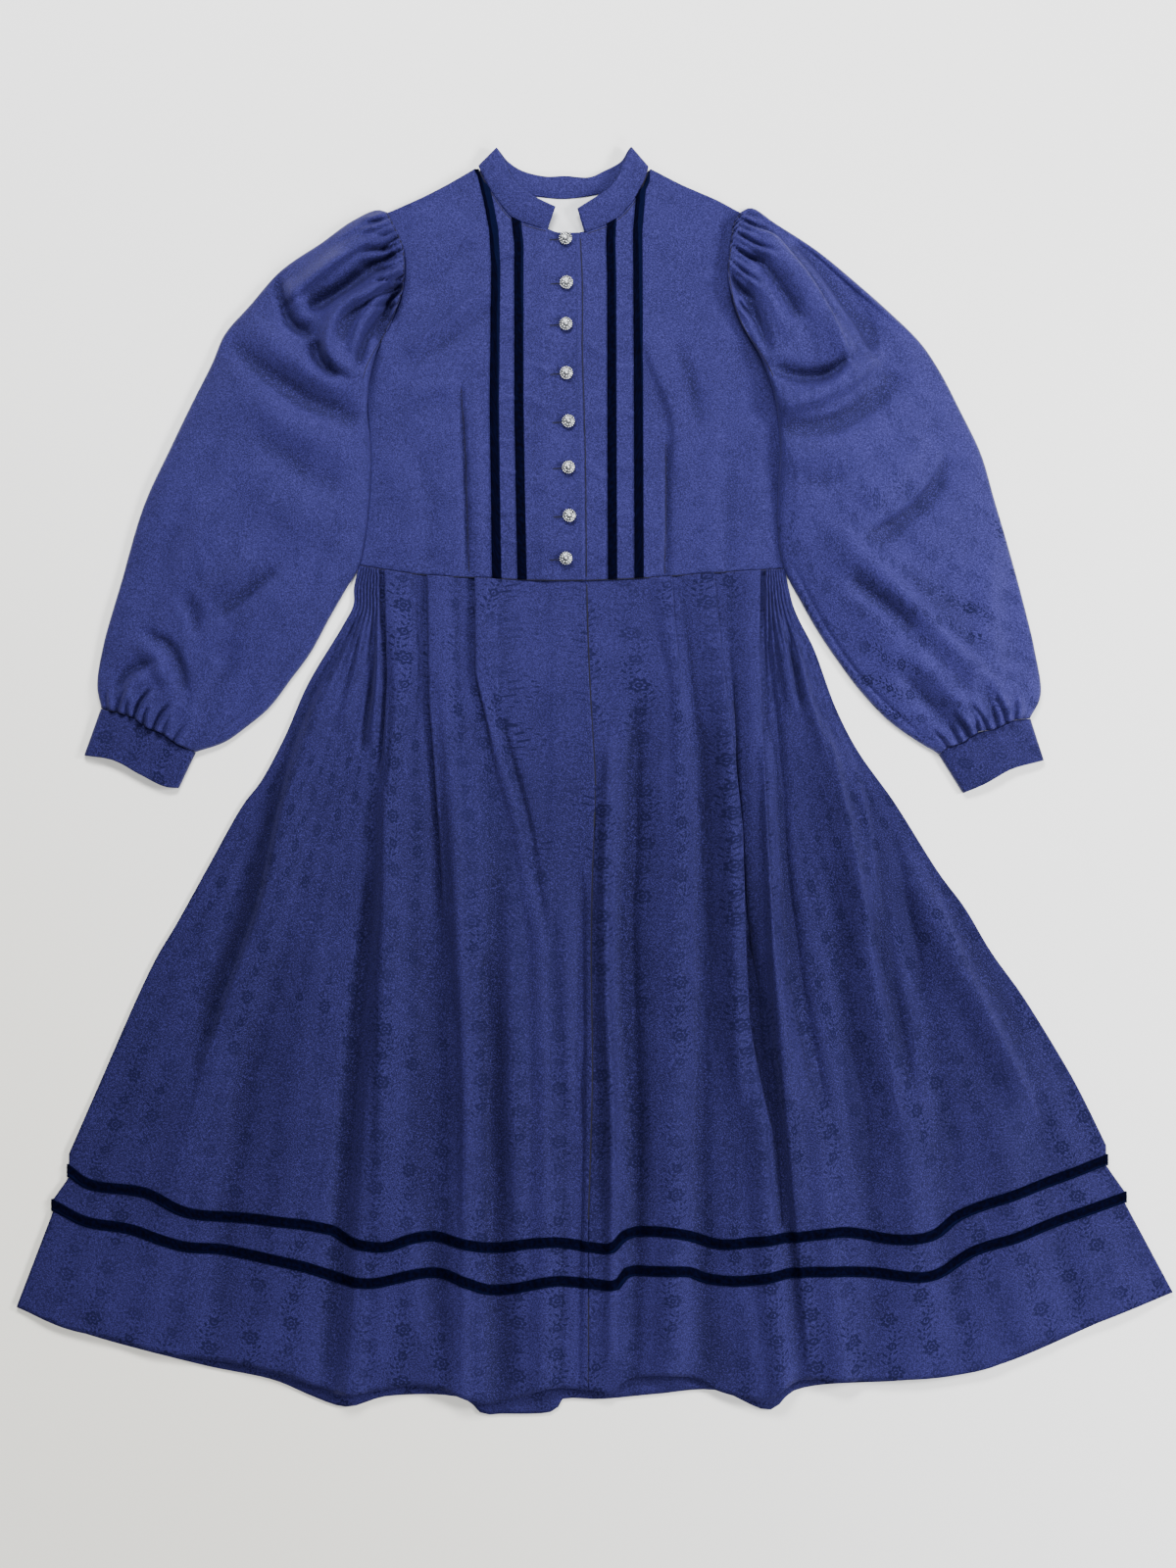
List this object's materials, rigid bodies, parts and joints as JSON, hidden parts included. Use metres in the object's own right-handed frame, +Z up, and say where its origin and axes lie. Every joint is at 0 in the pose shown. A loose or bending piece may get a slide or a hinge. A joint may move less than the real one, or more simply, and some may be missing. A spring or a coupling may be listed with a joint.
{
  "type": "long-sleeved dirndl dress laid flat",
  "caption": "Long dirndl dress laid flat on its back, with stand collar, buttoned bodice, puffed sleeves, pleated skirt and velvet ribbon trim.",
  "frame": {"origin": "middle of the dress's outline, on the surface it lies on", "axes": "+Z up from the surface; +Y from hem to collar; +X towards the wearer's left side, seen on the right from above"},
  "size_m": [1.1786, 1.29, 0.0326],
  "materials": {
    "dress_cloth": "matte woven twill with a tone-on-tone sprig pattern, royal blue",
    "velvet_ribbon": "dense velvet pile, near-black navy",
    "lining_cloth": "plain white cotton",
    "button_metal": "silver-coloured cast metal with a beaded filigree top"
  },
  "bodies": {
    "root": {"bodice_front_right": "dress_cloth", "bodice_front_left": "dress_cloth", "bodice_back": "dress_cloth", "collar": "dress_cloth", "sleeve_right": "dress_cloth", "sleeve_left": "dress_cloth", "cuff_right": "dress_cloth", "cuff_left": "dress_cloth", "skirt_front_right": "dress_cloth", "skirt_front_left": "dress_cloth", "skirt_back": "dress_cloth", "ribbon_right_inner": "velvet_ribbon", "ribbon_right_outer": "velvet_ribbon", "ribbon_left_inner": "velvet_ribbon", "ribbon_left_outer": "velvet_ribbon", "hem_ribbon_upper": "velvet_ribbon", "hem_ribbon_lower": "velvet_ribbon", "back_lining": "lining_cloth", "button_1": "button_metal", "button_2": "button_metal", "button_3": "button_metal", "button_4": "button_metal", "button_5": "button_metal", "button_6": "button_metal", "button_7": "button_metal", "button_8": "button_metal"}
  },
  "joints": []
}
